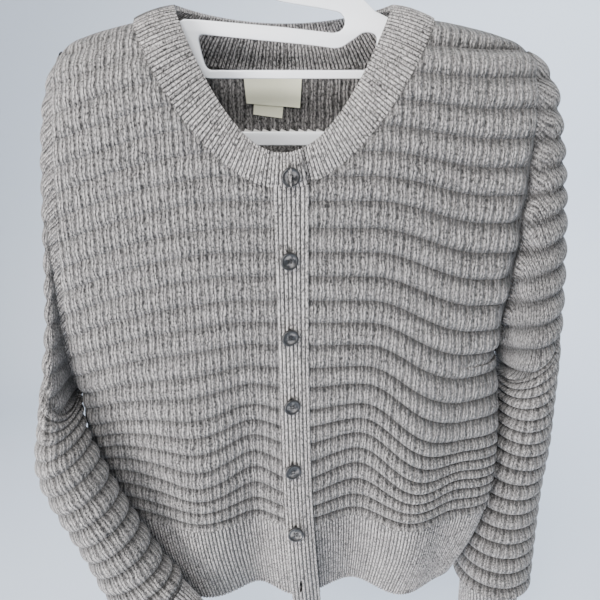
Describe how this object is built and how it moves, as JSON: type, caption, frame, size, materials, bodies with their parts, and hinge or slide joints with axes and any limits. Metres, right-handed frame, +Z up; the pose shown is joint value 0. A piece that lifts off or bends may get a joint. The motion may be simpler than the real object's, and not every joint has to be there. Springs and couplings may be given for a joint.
{
  "type": "button cardigan on a hanger",
  "caption": "Marled grey round-neck cardigan in welted knit with ribbed bands and dark four-hole buttons, hanging open-hollow on a white moulded hanger.",
  "frame": {"origin": "the inside top of the hanger's hook, where it rests on a rail", "axes": "+Z up, +X to the wearer's left, -Y out of the front of the garment"},
  "size_m": [0.539, 0.179, 0.7871],
  "materials": {
    "knit": "thick marled wool-blend knit in horizontal welts",
    "rib": "marled one-by-one rib knit",
    "button": "polished dark tortoise button",
    "label": "blank woven satin label",
    "hanger_plastic": "glossy white moulded plastic"
  },
  "bodies": {
    "root": {"back_panel": "knit", "right_front": "knit", "left_front": "knit", "right_sleeve": "knit", "left_sleeve": "knit", "right_cuff": "rib", "left_cuff": "rib", "back_hem_rib": "rib", "right_hem_rib": "rib", "left_hem_rib": "rib", "neckband": "rib", "buttonhole_band": "rib", "button_band": "rib", "button_1": "button", "button_2": "button", "button_3": "button", "button_4": "button", "button_5": "button", "button_6": "button", "button_7": "button", "neck_label": "label", "size_label": "label", "hanger": "hanger_plastic"}
  },
  "joints": []
}
